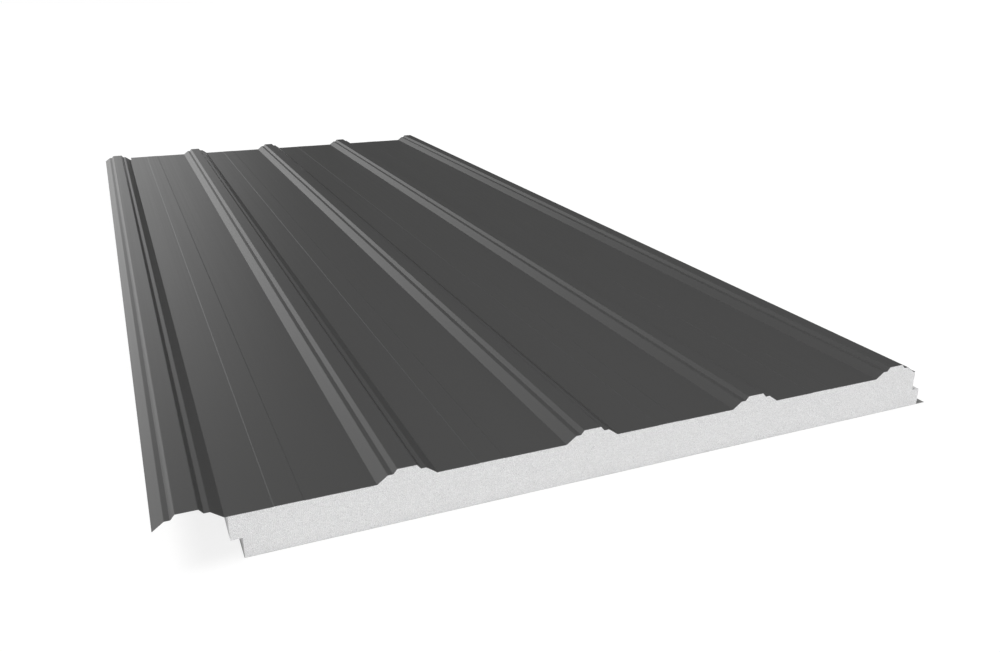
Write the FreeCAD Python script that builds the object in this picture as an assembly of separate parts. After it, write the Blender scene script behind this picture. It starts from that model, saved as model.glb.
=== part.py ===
"""Insulated roof sandwich panel, lying flat with its ribs up.

Three bonded layers: a ribbed steel outer sheet, a rigid foam core and a flat steel liner sheet.
The first rib is empty and laps over the last rib of the panel beside it; the core's edges meet in a
rebate and tongue, and the liner's lip runs on under the neighbour's liner.

Frame: X across the ribs, Y along them, Z up. The origin is the centre of the base. Millimetres.
The cross section is drawn with x = 0 at the lap rib's centre and z = 0 on the outer face of the pans.
"""

import FreeCAD
import Part

import math
import os

# ---- driving dimensions ----------------------------------------------------------------------
panel_length = 2350.0
rib_pitches = (246.0, 246.0, 254.0, 254.0)  # centre to centre; their sum is the cover width

rib_height = 15.5
rib_foot_half = 37.0  # half the rib's width where it meets the pans
rib_crown_half = 12.2  # half the width of the flat crown
shoulder_height = 9.7
shoulder_outer_half = 23.6  # the level shoulder runs from here ...
shoulder_inner_half = 17.0  # ... to here

stiffener_width = 34.5  # the low raised band in each pan
stiffener_height = 0.3
stiffener_ramp = 1.0
stiffener_to_next_rib = 121.0  # from the band's right-hand edge to the next rib's centre

outer_thickness = 0.5
liner_thickness = 0.5
core_thickness = 56.0  # in the pans
bend_radius = 1.5  # on the inside of each bend

lap_outset = 0.4  # how far the lap rib stands outside the other ribs' outline
lap_play = 0.3  # left between the lap rib and the rib that it covers
lap_edge_gap = 0.1  # under the lap rib's free edge, above the neighbour's pan
lap_cut_back = 40.0  # the lap rib stops short of the panel's far end

core_setback = 3.8  # from a rib's foot to the core's edge
side_gap = 0.6  # between the cores of two panels
rebate_width = 13.5
rebate_level = 31.0  # from the pans down to the rebate's ceiling
tongue_play = 0.5  # above the tongue, in the neighbour's rebate

liner_reveal = 0.6  # how far the liner stands out under the core's rebated edge
lip_width = 16.0  # how far the liner's lip runs out past the tongue

# ---- worked out ------------------------------------------------------------------------------
rib_centres = [sum(rib_pitches[:count]) for count in range(len(rib_pitches) + 1)]
cover_width = rib_centres[-1]
underlap_depth = outer_thickness + lap_play - lap_outset  # how far the covered rib stands inside
toe_z = -outer_thickness - lap_play  # the covered rib's toe passes under the neighbour's pan

slope_run = rib_foot_half - shoulder_outer_half
slope_length = math.hypot(slope_run, shoulder_height)
slope_sine = shoulder_height / slope_length
slope_cosine = slope_run / slope_length

core_left = rib_foot_half + core_setback
core_right = cover_width + core_left - side_gap
core_left_low = core_left + rebate_width
core_right_low = core_right + rebate_width
core_bottom = -outer_thickness - core_thickness
panel_bottom = core_bottom - liner_thickness
tongue_level = rebate_level + tongue_play
liner_left = core_left_low - liner_reveal
liner_right = core_right_low + lip_width

lap_foot_half = rib_foot_half + lap_outset / slope_sine
lap_edge_z = lap_edge_gap + outer_thickness * slope_cosine
lap_edge_x = -lap_foot_half + lap_edge_z * slope_run / shoulder_height

middle_x = (lap_edge_x + liner_right) / 2


def offset_points(points, depth):
    """The open outline moved down by depth, measured square to each of its straight runs."""
    normals = []
    for (x0, z0), (x1, z1) in zip(points, points[1:]):
        length = math.hypot(x1 - x0, z1 - z0)
        normals.append(((z1 - z0) / length, -(x1 - x0) / length))
    before = [normals[0]] + normals
    after = normals + [normals[-1]]
    moved = []
    for (x, z), (ax, az), (bx, bz) in zip(points, before, after):
        share = depth / (1 + ax * bx + az * bz)
        moved.append((x + (ax + bx) * share, z + (az + bz) * share))
    return moved


def rib_points(centre):
    """The outer face of one full rib, from foot to foot."""
    half = [
        (rib_foot_half, 0.0),
        (shoulder_outer_half, shoulder_height),
        (shoulder_inner_half, shoulder_height),
        (rib_crown_half, rib_height),
    ]
    left = [(centre - x, z) for x, z in half]
    right = [(centre + x, z) for x, z in reversed(half)]
    return left + right


def lap_rib_points():
    """The empty rib, a little larger than the rest, whose free edge stops above the neighbour's pan."""
    grown = offset_points(rib_points(0.0), -lap_outset)
    return [(lap_edge_x, lap_edge_z)] + grown[1:-1] + [(lap_foot_half, 0.0)]


def underlap_rib_points():
    """The covered rib, a little smaller than the rest, and its toe under the neighbour's pan."""
    shrunk = offset_points(rib_points(cover_width), underlap_depth)
    foot_half = rib_foot_half - underlap_depth / slope_sine
    toe_half = foot_half - toe_z * slope_run / shoulder_height
    left_foot = (cover_width - foot_half, 0.0)
    toe = [(cover_width + toe_half, toe_z), (core_right, toe_z)]
    return [left_foot] + shrunk[1:-1] + toe


def stiffener_points(next_rib_centre):
    """The low raised band in the pan before a rib."""
    right = next_rib_centre - stiffener_to_next_rib
    left = right - stiffener_width
    return [
        (left, 0.0),
        (left + stiffener_ramp, stiffener_height),
        (right - stiffener_ramp, stiffener_height),
        (right, 0.0),
    ]


def bonded_points():
    """The outer face over the core, from the first pan's stiffener to the end of the toe."""
    points = []
    for centre in rib_centres[1:-1]:
        points += stiffener_points(centre) + rib_points(centre)
    return points + stiffener_points(cover_width) + underlap_rib_points()


def rounded_edges(points, depth):
    """Lines and arcs along an outer-face outline, depth below it, each bend rounded concentrically."""
    moved = offset_points(points, depth)
    edges = []
    start = moved[0]
    for before, corner, after in zip(moved, moved[1:], moved[2:]):
        (ax, az), (bx, bz) = unit(before, corner), unit(corner, after)
        turn = math.atan2(ax * bz - az * bx, ax * bx + az * bz)
        if turn < 0:
            radius = bend_radius + outer_thickness - depth
        else:
            radius = bend_radius + depth
        reach = radius * math.tan(abs(turn) / 2)
        arc_start = (corner[0] - ax * reach, corner[1] - az * reach)
        arc_end = (corner[0] + bx * reach, corner[1] + bz * reach)
        sagitta = radius / math.cos(turn / 2) - radius
        inward = unit(corner, ((arc_start[0] + arc_end[0]) / 2, (arc_start[1] + arc_end[1]) / 2))
        arc_middle = (corner[0] + inward[0] * sagitta, corner[1] + inward[1] * sagitta)
        edges.append(Part.LineSegment(place(start), place(arc_start)).toShape())
        edges.append(Part.Arc(place(arc_start), place(arc_middle), place(arc_end)).toShape())
        start = arc_end
    edges.append(Part.LineSegment(place(start), place(moved[-1])).toShape())
    return edges, moved[0], moved[-1]


def unit(start, end):
    """The direction from one point of the section to another."""
    length = math.hypot(end[0] - start[0], end[1] - start[1])
    return (end[0] - start[0]) / length, (end[1] - start[1]) / length


def place(point):
    """A point of the section, at the near end of the panel in the part's own frame."""
    return FreeCAD.Vector(point[0] - middle_x, -panel_length / 2, point[1] - panel_bottom)


def straight_edges(points):
    """Straight lines through the points."""
    return [Part.LineSegment(place(a), place(b)).toShape() for a, b in zip(points, points[1:])]


def extruded(edges, length=panel_length):
    """The closed outline drawn out along the panel."""
    outline = Part.Wire(Part.__sortEdges__(edges))
    return Part.Face(outline).extrude(FreeCAD.Vector(0, length, 0))


def outer_sheet():
    """The ribbed sheet: one strip of constant thickness, roll formed, with its lap rib cut back."""
    points = lap_rib_points() + bonded_points()
    top, top_start, top_end = rounded_edges(points, 0.0)
    under, under_start, under_end = rounded_edges(points, outer_thickness)
    ends = straight_edges([top_start, under_start]) + straight_edges([top_end, under_end])
    sheet = extruded(top + under + ends)
    notch_height = outer_thickness + rib_height + lap_outset
    notch = Part.makeBox(core_left - lap_edge_x, lap_cut_back, notch_height)
    notch.Placement.Base = place((lap_edge_x, -outer_thickness))
    notch.Placement.Base.y += panel_length - lap_cut_back
    return sheet.cut(notch)


def foam_core():
    """The foam, which fills the ribs from below, with a rebate on one edge and a tongue on the other."""
    top, top_start, top_end = rounded_edges([(core_left, 0.0)] + bonded_points(), outer_thickness)
    sides = straight_edges(
        [
            top_end,
            (core_right, -tongue_level),
            (core_right_low, -tongue_level),
            (core_right_low, core_bottom),
            (core_left_low, core_bottom),
            (core_left_low, -rebate_level),
            (core_left, -rebate_level),
            top_start,
        ]
    )
    return extruded(top + sides)


def liner_sheet():
    """The flat sheet under the core, with its lip."""
    outline = [
        (liner_left, core_bottom),
        (liner_right, core_bottom),
        (liner_right, panel_bottom),
        (liner_left, panel_bottom),
        (liner_left, core_bottom),
    ]
    return extruded(straight_edges(outline))


def main():
    os.makedirs("parts", exist_ok=True)
    nodes = {"outer_sheet": outer_sheet(), "foam_core": foam_core(), "liner_sheet": liner_sheet()}
    for name, shape in nodes.items():
        shape.exportStep(os.path.join("parts", name + ".step"))
        box = shape.BoundBox
        print(f"{name}: {box.XLength:.1f} x {box.YLength:.1f} x {box.ZLength:.1f} mm, "
              f"{len(shape.Solids)} solid, {shape.Volume / 1e6:.3f} litres, valid {shape.isValid()}")
    print(f"cover width {cover_width:.1f} mm, section origin at x = {-middle_x:.3f}, z = {-panel_bottom:.3f}")


main()
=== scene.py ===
# %% [markdown]
# # An insulated roof panel
#
# The panel is a sandwich. A ribbed steel sheet, coated dark grey, is glued to a block of white
# expanded polystyrene, and a flat steel liner closes it underneath. Its construction, with every
# size, comes from the measured model. What is made here is what the eye reads as real: the coating
# on the steel and its bare cut edges, the beads in the foam, and the light of a plain studio.
#
# The measured model is loaded first, because every place below is worked out from it. Its overall
# box is kept as well: the finished panel has to be the same size.

# %% Load the measured model
import math

import bpy
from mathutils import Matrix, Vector


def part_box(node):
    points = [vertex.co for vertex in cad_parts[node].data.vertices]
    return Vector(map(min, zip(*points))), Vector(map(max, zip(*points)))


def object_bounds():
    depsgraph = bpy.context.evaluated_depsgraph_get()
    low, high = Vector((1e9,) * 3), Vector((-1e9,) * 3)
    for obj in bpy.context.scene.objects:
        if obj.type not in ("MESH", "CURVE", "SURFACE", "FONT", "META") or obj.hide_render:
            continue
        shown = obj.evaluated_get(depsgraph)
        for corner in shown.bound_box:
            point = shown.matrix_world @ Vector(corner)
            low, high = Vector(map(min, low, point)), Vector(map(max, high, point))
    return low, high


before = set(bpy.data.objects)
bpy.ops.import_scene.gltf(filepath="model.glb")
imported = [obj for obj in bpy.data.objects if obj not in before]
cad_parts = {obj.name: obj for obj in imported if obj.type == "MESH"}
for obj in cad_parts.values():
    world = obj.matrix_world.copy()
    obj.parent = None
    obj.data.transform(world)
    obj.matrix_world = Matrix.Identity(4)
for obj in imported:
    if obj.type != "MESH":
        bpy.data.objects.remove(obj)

model_low, model_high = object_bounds()
sheet_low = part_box("outer_sheet")[0]
scene = bpy.context.scene
print("panel, metres:", [round(side, 4) for side in model_high - model_low])

# %% [markdown]
# ## The camera
#
# The camera stands in front of the panel, in line with its left edge and 0.6 m above the floor, and
# looks along the ribs with its head turned to the right. It could be pushed about by hand until the
# view looked right, but a camera that is placed by measure keeps the perspective of the ribs true.
# So it has a place, counted from the panel's near left corner, then a turn, a tilt and a lens. The
# Standard view transform shows every colour as it was written.

# %% Camera
camera_from_corner = Vector((0.0157, -0.8959, 0.6002))
camera_turn = math.radians(-23.26)
camera_tilt = math.radians(-20.77)
sensor_width_mm = 36.0
lens_length_mm = 32.59

near_left_corner = Vector((sheet_low.x, sheet_low.y, model_low.z))
camera_data = bpy.data.cameras.new("camera")
camera_data.sensor_width = sensor_width_mm
camera_data.lens = lens_length_mm
camera = bpy.data.objects.new("camera", camera_data)
camera.location = near_left_corner + camera_from_corner
camera.rotation_euler = (math.pi / 2 + camera_tilt, 0.0, camera_turn)
scene.collection.objects.link(camera)
scene.camera = camera
scene.view_settings.view_transform = "Standard"
print("camera stands at", [round(value, 3) for value in camera.location])

# %% [markdown]
# ## Helpers for nodes
#
# A material is a chain of nodes, and most of the typing goes into joining them up. Here one helper
# adds a node and fills its inputs in the same line: an input gets a plain value, or the socket that
# feeds it. Read from top to bottom, a chain then tells how the surface is worked out. Inputs go by
# name, except where a node has several of one name, as Math, Mix and Mix Shader do: those go by
# number.

# %% Add a node, with its values and its feeds
def add_node(tree, kind, inputs=None, **settings):
    """Adds a node. Each input is given a value, or the output socket that feeds it."""
    node = tree.nodes.new(kind)
    for name, value in settings.items():
        setattr(node, name, value)
    for name, value in (inputs or {}).items():
        if isinstance(value, bpy.types.NodeSocket):
            tree.links.new(value, node.inputs[name])
        else:
            node.inputs[name].default_value = value
    return node


def maths(tree, operation, *values):
    """One step of arithmetic, as a socket."""
    return add_node(tree, "ShaderNodeMath", dict(enumerate(values)), operation=operation).outputs[0]


# %% Blend two numbers or two colours
# Where each kind of data has its factor, first input, second input and result on a Mix node.
mix_sockets = {"FLOAT": (0, 2, 3, 0), "RGBA": (0, 6, 7, 2)}


def blend(tree, data_type, factor, first, second):
    """First where the factor is 0, second where it is 1, as a socket."""
    factor_in, first_in, second_in, result_out = mix_sockets[data_type]
    mix_inputs = {factor_in: factor, first_in: first, second_in: second}
    return add_node(tree, "ShaderNodeMix", mix_inputs, data_type=data_type).outputs[result_out]


def blend_numbers(tree, factor, low, high):
    """A number between low and high, as a socket."""
    return blend(tree, "FLOAT", factor, low, high)


def blend_colours(tree, factor, first, second):
    """A colour between two others, as a socket."""
    return blend(tree, "RGBA", factor, first, second)


# %% Start a node group and a material
def new_group(name, inputs, outputs):
    """A node group, and the sockets that it is given. Inputs are {name: default}, outputs are names."""
    group = bpy.data.node_groups.new(name, "ShaderNodeTree")
    for socket_name, default in inputs.items():
        socket = group.interface.new_socket(socket_name, in_out="INPUT", socket_type="NodeSocketFloat")
        socket.default_value = default
    for socket_name in outputs:
        group.interface.new_socket(socket_name, in_out="OUTPUT", socket_type="NodeSocketFloat")
    return group, add_node(group, "NodeGroupInput").outputs


def new_material(name):
    """A material, and its node tree, which is empty."""
    material = bpy.data.materials.new(name)
    material.use_nodes = True
    material.node_tree.nodes.clear()
    return material, material.node_tree


def close_material(tree, surface_inputs):
    """Ends a material's chain in a Principled surface."""
    surface = add_node(tree, "ShaderNodeBsdfPrincipled", surface_inputs)
    add_node(tree, "ShaderNodeOutputMaterial", {"Surface": surface.outputs["BSDF"]})


# %% [markdown]
# ## The sides of a coated strip
#
# Coil-coated steel has a coloured top coat on one side, a thin grey backing coat on the other, and
# bare zinc and steel wherever it is cut. All three show on this panel: the backing coat is under the
# empty rib and on top of the liner's lip, and the bare metal runs along every cut edge. Painting
# three materials face by face would be slow. The direction in which a face points already says which
# it is, so one group turns that direction into two masks. The steepest painted slope leans 50
# degrees, and the flattest cut, along the free edge of the empty rib, leans 54. So a face that leans
# more than 52 is a cut.

# %% Group: sides of a coated strip
least_lean_of_a_cut = math.radians(52.0)
clearly_turned_away = -0.2

sides_inputs = {"Top Coat Faces Up": 1.0}
sides_group, given = new_group("sides_of_a_coated_strip", sides_inputs, ["Backing", "Cut Edge"])
normal = add_node(sides_group, "ShaderNodeTexCoord").outputs["Normal"]
facing = add_node(sides_group, "ShaderNodeSeparateXYZ", {"Vector": normal}).outputs
# Twice the input less one is 1 for a coat that faces up, and -1 for one that faces down.
up_or_down = maths(sides_group, "MULTIPLY_ADD", given["Top Coat Faces Up"], 2.0, -1.0)
towards_coat = maths(sides_group, "MULTIPLY", facing["Z"], up_or_down)
backing = maths(sides_group, "LESS_THAN", towards_coat, clearly_turned_away)
along = maths(sides_group, "ABSOLUTE", facing["Y"])
across = maths(sides_group, "ABSOLUTE", facing["X"])
sideways = maths(sides_group, "MAXIMUM", along, across)
cut = maths(sides_group, "GREATER_THAN", sideways, math.sin(least_lean_of_a_cut))
add_node(sides_group, "NodeGroupOutput", {"Backing": backing, "Cut Edge": cut})
print("group:", sides_group.name, "with", len(sides_group.nodes), "nodes")

# %% [markdown]
# ## Grain and unevenness
#
# Paint that was rolled on at a coil line isn't glassy. It has a fine orange peel and faint lines
# along the strip, and the sheet under it is never quite flat. A flat image of steel could be wrapped
# round the panel for this, but it would stretch on the slopes and repeat on the pans. A noise can be
# stretched to order and never repeats. The three patterns differ only in how fine they are and how
# far they are drawn out along the strip, so they share one group, which adds up their heights. The
# heights are in metres, so a Bump node with a distance of 1 takes them as they are.

# %% Group: surface of a rolled strip
noise_detail = 2.0
features_per_metre = {
    "Peel Height": (620.0, 480.0, 620.0),
    "Line Height": (240.0, 0.9, 240.0),
    "Wave Height": (7.0, 2.2, 7.0),
}
default_heights = {"Peel Height": 0.000004, "Line Height": 0.000006, "Wave Height": 0.00025}

rolled_names = ["Height", "Streaks", "Clouds"]
rolled_group, given = new_group("surface_of_a_rolled_strip", default_heights, rolled_names)
place = add_node(rolled_group, "ShaderNodeTexCoord").outputs["Object"]
patterns = {}
height = None
for name, density in features_per_metre.items():
    stretched = add_node(rolled_group, "ShaderNodeMapping", {"Vector": place, "Scale": density})
    noise_inputs = {"Vector": stretched.outputs["Vector"], "Scale": 1.0, "Detail": noise_detail}
    patterns[name] = add_node(rolled_group, "ShaderNodeTexNoise", noise_inputs).outputs["Fac"]
    raised = maths(rolled_group, "MULTIPLY", patterns[name], given[name])
    height = raised if height is None else maths(rolled_group, "ADD", height, raised)
add_node(rolled_group, "NodeGroupOutput", {
    "Height": height,
    "Streaks": patterns["Line Height"],
    "Clouds": patterns["Wave Height"],
})
print("group:", rolled_group.name, "with", len(patterns), "patterns")

# %% [markdown]
# ## Coil-coated steel
#
# The dark sheet and the light liner are the same product in two colours, so one function makes both.
# The top coat, the backing coat and the cut edge each have a colour and a roughness, and the masks
# of the sides group choose between them. The blade that cuts the strip drags some paint over the
# bare zinc. The clouds shift the top coat's colour by about a twentieth, and the streaks shift its
# roughness, which is as much as the eye can see on a new sheet. The liner's top coat faces down, and
# with no ribs to hold it straight, its waves are the higher.

# %% Coil-coated steel
zinc_colour = (0.46, 0.47, 0.48, 1.0)
paint_on_the_cut = 0.65
backing_colour = (0.27, 0.27, 0.265, 1.0)
zinc_roughness = 0.45
backing_roughness = 0.55
roughness_spread = 0.04
coating_specular = 0.2


def coil_coated_steel(name, colour, cloud_colour, roughness, wave_height, coat_faces_up):
    """Coated steel: top coat, backing coat and cut edges in one material."""
    material, tree = new_material(name)
    sides = add_node(tree, "ShaderNodeGroup", node_tree=sides_group)
    sides.inputs["Top Coat Faces Up"].default_value = coat_faces_up
    rolled = add_node(tree, "ShaderNodeGroup", node_tree=rolled_group)
    rolled.inputs["Wave Height"].default_value = wave_height
    is_backing = sides.outputs["Backing"]
    is_cut = sides.outputs["Cut Edge"]
    coat = blend_colours(tree, rolled.outputs["Clouds"], colour, cloud_colour)
    coat_or_backing = blend_colours(tree, is_backing, coat, backing_colour)
    smoother = roughness - roughness_spread
    rougher = roughness + roughness_spread
    coat_roughness = blend_numbers(tree, rolled.outputs["Streaks"], smoother, rougher)
    painted_roughness = blend_numbers(tree, is_backing, coat_roughness, backing_roughness)
    cut_colour = [zinc + (paint - zinc) * paint_on_the_cut for zinc, paint in zip(zinc_colour, colour)]
    bump = add_node(tree, "ShaderNodeBump", {"Height": rolled.outputs["Height"], "Distance": 1.0})
    close_material(tree, {
        "Base Color": blend_colours(tree, is_cut, coat_or_backing, cut_colour),
        "Roughness": blend_numbers(tree, is_cut, painted_roughness, zinc_roughness),
        "Metallic": maths(tree, "MULTIPLY", is_cut, 1.0 - paint_on_the_cut),
        "Specular IOR Level": coating_specular,
        "Normal": bump.outputs["Normal"],
    })
    print("material:", name)
    return material


dark_coating = coil_coated_steel(
    "dark_coil_coating",
    colour=(0.0755, 0.0755, 0.0750, 1.0),
    cloud_colour=(0.0710, 0.0710, 0.0705, 1.0),
    roughness=0.30,
    wave_height=0.00025,
    coat_faces_up=1.0,
)
light_coating = coil_coated_steel(
    "light_coil_coating",
    colour=(0.70, 0.70, 0.68, 1.0),
    cloud_colour=(0.67, 0.67, 0.65, 1.0),
    roughness=0.38,
    wave_height=0.00040,
    coat_faces_up=0.0,
)

# %% [markdown]
# ## Expanded polystyrene
#
# The foam is made of beads that were steamed until they pressed against each other. Cut through,
# they show as small many-sided cells, each slightly domed and a touch different in tone, with a
# hairline between them. The two cut ends alone show tens of thousands of them, too many to model one
# by one, and a Voronoi texture is exactly their pattern. Perfect cells look drawn with a ruler,
# though, so the coordinates are first pushed about by a noise. The beads are about 2 mm across, and
# a little flatter than they are wide, because the block was pressed between the two sheets. The push
# is counted in bead widths.

# %% Where the beads are
beads_per_metre = (500.0, 500.0, 665.0)
push_scale = 0.8
push_reach = 0.40
middle_of_the_noise = (0.5, 0.5, 0.5)

foam, foam_tree = new_material("expanded_polystyrene")
foam_place = add_node(foam_tree, "ShaderNodeTexCoord").outputs["Object"]
counted = add_node(foam_tree, "ShaderNodeMapping", {"Vector": foam_place, "Scale": beads_per_metre})
in_beads = counted.outputs["Vector"]
push = add_node(foam_tree, "ShaderNodeTexNoise", {
    "Vector": in_beads,
    "Scale": push_scale,
    "Detail": noise_detail,
})
centred = add_node(foam_tree, "ShaderNodeVectorMath", {
    0: push.outputs["Color"],
    1: middle_of_the_noise,
}, operation="SUBTRACT")
pushed = add_node(foam_tree, "ShaderNodeVectorMath", {
    0: centred.outputs["Vector"],
    1: (push_reach, push_reach, push_reach),
    2: in_beads,
}, operation="MULTIPLY_ADD")
print("beads, mm across:", [round(1000.0 / beads, 2) for beads in beads_per_metre])

# %% [markdown]
# ## The look of a bead
#
# Two Voronoi textures share the same pushed cells. The first knows which bead a point is in, which
# gives the bead its own shade, and how far the point is from the bead's middle, which raises the dome.
# The second knows how far the nearest seam is, and darkens a hairline there. That hairline is partly
# the seam's own tone and partly painted shade of the small gaps between the beads. Seam and shade stay
# faint: a new block is almost white, and what the eye reads as foam is mostly the domes' shading.

# %% Material: expanded polystyrene
cell_unevenness = 0.85
dome_smoothness = 0.25
seam_reach = 0.14
# The seams' grey is partly their own tone and partly painted shade of the small gaps between beads.
seam_and_painted_shade_colour = (0.66, 0.66, 0.663, 1.0)
greyest_bead = (0.88, 0.88, 0.883, 1.0)
whitest_bead = (0.99, 0.99, 0.993, 1.0)
dome_height = 0.00055
foam_roughness = 0.8
foam_specular = 0.25

cell_inputs = {"Vector": pushed.outputs["Vector"], "Scale": 1.0, "Randomness": cell_unevenness}
dome_inputs = {**cell_inputs, "Smoothness": dome_smoothness}
bead = add_node(foam_tree, "ShaderNodeTexVoronoi", dome_inputs, feature="SMOOTH_F1")
seam = add_node(foam_tree, "ShaderNodeTexVoronoi", cell_inputs, feature="DISTANCE_TO_EDGE")
# This mask marks the seams, where the painted shade of the gaps between beads goes.
seam_and_painted_shade_mask = add_node(foam_tree, "ShaderNodeMapRange", {
    "Value": seam.outputs["Distance"],
    "From Max": seam_reach,
    "To Min": 1.0,
    "To Max": 0.0,
})
shade = add_node(foam_tree, "ShaderNodeSeparateColor", {"Color": bead.outputs["Color"]})
bead_colour = blend_colours(foam_tree, shade.outputs["Red"], greyest_bead, whitest_bead)
domes = add_node(foam_tree, "ShaderNodeBump", {
    "Height": bead.outputs["Distance"],
    "Strength": 1.0,
    "Distance": dome_height,
}, invert=True)
close_material(foam_tree, {
    "Base Color": blend_colours(foam_tree, seam_and_painted_shade_mask.outputs["Result"], bead_colour, seam_and_painted_shade_colour),
    "Roughness": foam_roughness,
    "Specular IOR Level": foam_specular,
    "Normal": domes.outputs["Normal"],
})
print("material:", foam.name, "with", len(foam_tree.nodes), "nodes")

# %% [markdown]
# ## Giving the pieces their finishes
#
# The three pieces come with the measured model, one object each, and their shapes are already the
# real ones: the bends have their radius and the core fits under every rib. So nothing is modelled
# again here. Each piece only changes what is in its material slots.

# %% Give each piece its material
finishes = {"outer_sheet": dark_coating, "foam_core": foam, "liner_sheet": light_coating}
for node_name, material in finishes.items():
    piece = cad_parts[node_name]
    for slot in piece.material_slots:
        slot.material = material
    print(node_name, "is", material.name, "on", len(piece.data.polygons), "faces")

# %% [markdown]
# ## The floor
#
# The panel lies on a white studio floor that runs out of sight. A floor that is lit to pure white
# would throw so much light back up that the panel's underside would glow. So the floor is two
# materials in one, and Light Path chooses between them. Light that bounces on meets a plain pale
# grey. The eye, and anything that mirrors the floor, meets a surface that mostly shines by itself.
# The rest of it is diffuse, and that share is what lets the panel's shadow show, softly. The floor
# lies 0.3 mm under the panel, so that their faces never share a plane.

# %% What the eye sees, and what the light meets
def seen_directly(tree):
    """1 for what the eye sees, itself or in a reflection, and 0 for light that bounces on."""
    path = add_node(tree, "ShaderNodeLightPath").outputs
    seen = maths(tree, "MAXIMUM", path["Is Camera Ray"], path["Is Glossy Ray"])
    return maths(tree, "MAXIMUM", seen, path["Is Transmission Ray"])


# %% Floor
floor_size = 60.0
floor_drop = 0.0003
bounce_grey = (0.80, 0.80, 0.80, 1.0)
shadow_share = (0.24, 0.24, 0.24, 1.0)
glow_strength = 0.80
white = (1.0, 1.0, 1.0, 1.0)

bpy.ops.object.select_all(action="DESELECT")
bpy.ops.mesh.primitive_plane_add(size=floor_size, location=(0.0, 0.0, model_low.z - floor_drop))
floor = bpy.context.object
floor.name = "floor"
floor_paint, floor_tree = new_material("studio_floor")
bounce = add_node(floor_tree, "ShaderNodeBsdfDiffuse", {"Color": bounce_grey})
shadowed = add_node(floor_tree, "ShaderNodeBsdfDiffuse", {"Color": shadow_share})
glow = add_node(floor_tree, "ShaderNodeEmission", {"Color": white, "Strength": glow_strength})
shown = add_node(floor_tree, "ShaderNodeAddShader", {
    0: shadowed.outputs["BSDF"],
    1: glow.outputs["Emission"],
})
choose = add_node(floor_tree, "ShaderNodeMixShader", {
    0: seen_directly(floor_tree),
    1: bounce.outputs["BSDF"],
    2: shown.outputs["Shader"],
})
add_node(floor_tree, "ShaderNodeOutputMaterial", {"Surface": choose.outputs["Shader"]})
floor.data.materials.append(floor_paint)
print("floor lies at", round(model_low.z - floor_drop, 5))

# %% [markdown]
# ## The studio's walls
#
# Paint on steel shows its surroundings almost as much as its own colour. With the same white all
# round, every slope and every pan would gleam alike, and the sheet would look like grey card. A
# real studio has a few large soft windows instead. The first stands low and a little to the left of
# the way the ribs run. Pans and slopes that mirror it gleam, most of all where the ribs run away
# from the eye, and they fall back to their own grey where they mirror the dim wall beside it. The
# other three do the same for an eye that walks round the panel.
#
# The windows could be lit planes, but then they would throw light and stand in view from some
# sides. So they are part of the world and only glossy rays see them, while the backdrop is plain
# white. Each has a bright core and fades into the wall, and its size and place are in degrees.

# %% Where a lamp or a window stands
def direction(turn, height):
    """The way to a lamp or window: turn from +Y towards +X, height above the horizon, in degrees."""
    turn = math.radians(turn)
    height = math.radians(height)
    level = math.cos(height)
    return Vector((math.sin(turn) * level, math.cos(turn) * level, math.sin(height)))


print("turn 0 at the horizon is the way the ribs run:", tuple(direction(0.0, 0.0)))

# %% World
ambient_strength = 0.42
wall_strength = 0.05
window_strength = 1.22
window_turns = (-22.0, 95.0, 170.0, 248.0)
window_height = 11.0
window_core = 12.5
window_reach = 33.2

world = bpy.data.worlds.new("studio")
scene.world = world
world.use_nodes = True
sky = world.node_tree
sky.nodes.clear()
look = add_node(sky, "ShaderNodeTexCoord").outputs["Generated"]


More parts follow.
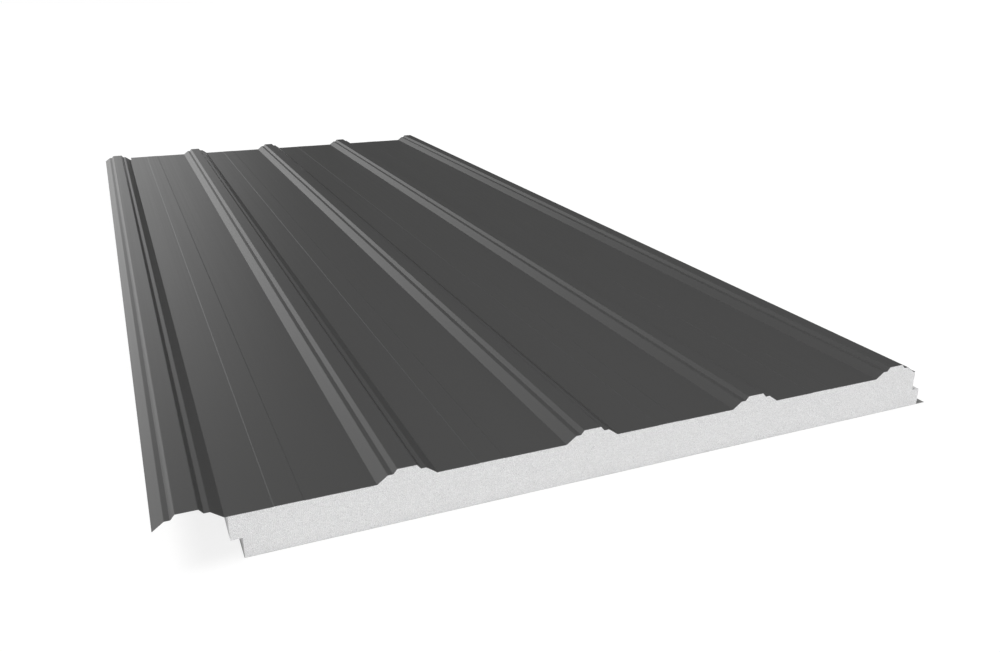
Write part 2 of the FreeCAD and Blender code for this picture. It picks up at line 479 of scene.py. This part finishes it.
def soft_window(turn):
    """How bright the wall is, as a socket: bright towards a window, fading into the dim wall."""
    towards = add_node(sky, "ShaderNodeVectorMath", {
        0: look,
        1: direction(turn, window_height),
    }, operation="DOT_PRODUCT")
    fade = add_node(sky, "ShaderNodeMapRange", {
        "Value": towards.outputs["Value"],
        "From Min": math.cos(math.radians(window_reach)),
        "From Max": math.cos(math.radians(window_core)),
        "To Min": wall_strength,
        "To Max": window_strength,
    }, interpolation_type="SMOOTHSTEP")
    return fade.outputs["Result"]


wall = soft_window(window_turns[0])
for turn in window_turns[1:]:
    wall = maths(sky, "MAXIMUM", wall, soft_window(turn))
is_glossy = add_node(sky, "ShaderNodeLightPath").outputs["Is Glossy Ray"]
backdrop_strength = blend_numbers(sky, is_glossy, 1.0, wall)
lighting = add_node(sky, "ShaderNodeBackground", {"Color": white, "Strength": ambient_strength})
backdrop = add_node(sky, "ShaderNodeBackground", {"Color": white, "Strength": backdrop_strength})
lighting_or_backdrop = add_node(sky, "ShaderNodeMixShader", {
    0: seen_directly(sky),
    1: lighting.outputs["Background"],
    2: backdrop.outputs["Background"],
})
add_node(sky, "ShaderNodeOutputWorld", {"Surface": lighting_or_backdrop.outputs["Shader"]})
print("world:", world.name, "with", len(window_turns), "windows")

# %% [markdown]
# ## The lamps
#
# Sun lamps light every part of a panel this long alike, which a lamp close by would not. The key
# stands high on the left, across the ribs, so that their left slopes are light and their right
# slopes dark. A weak lamp from the front shows the beads in the cut end, and a weaker one from the
# right keeps the shaded slopes from going black. With the world's light, the strengths add up to
# about 1 on the pans, the level at which a colour comes out as it was written.

# %% Lamps
def add_sun(name, turn, height, strength, softness):
    """A lamp far away, with the same light everywhere. Strength 1 lights a facing white to 1."""
    data = bpy.data.lights.new(name, "SUN")
    data.energy = strength * math.pi
    data.angle = math.radians(softness)
    lamp = bpy.data.objects.new(name, data)
    lamp.rotation_euler = direction(turn, height).to_track_quat("Z", "Y").to_euler()
    scene.collection.objects.link(lamp)
    share_on_the_pans = strength * math.sin(math.radians(height))
    print("lamp:", name, "adds", round(share_on_the_pans, 3), "on the pans")


add_sun("key", turn=-90.0, height=61.6, strength=0.59, softness=30.0)
add_sun("front_fill", turn=180.0, height=12.0, strength=0.19, softness=20.0)
add_sun("side_fill", turn=90.0, height=20.0, strength=0.06, softness=40.0)
print("the world adds", ambient_strength, "on the pans")
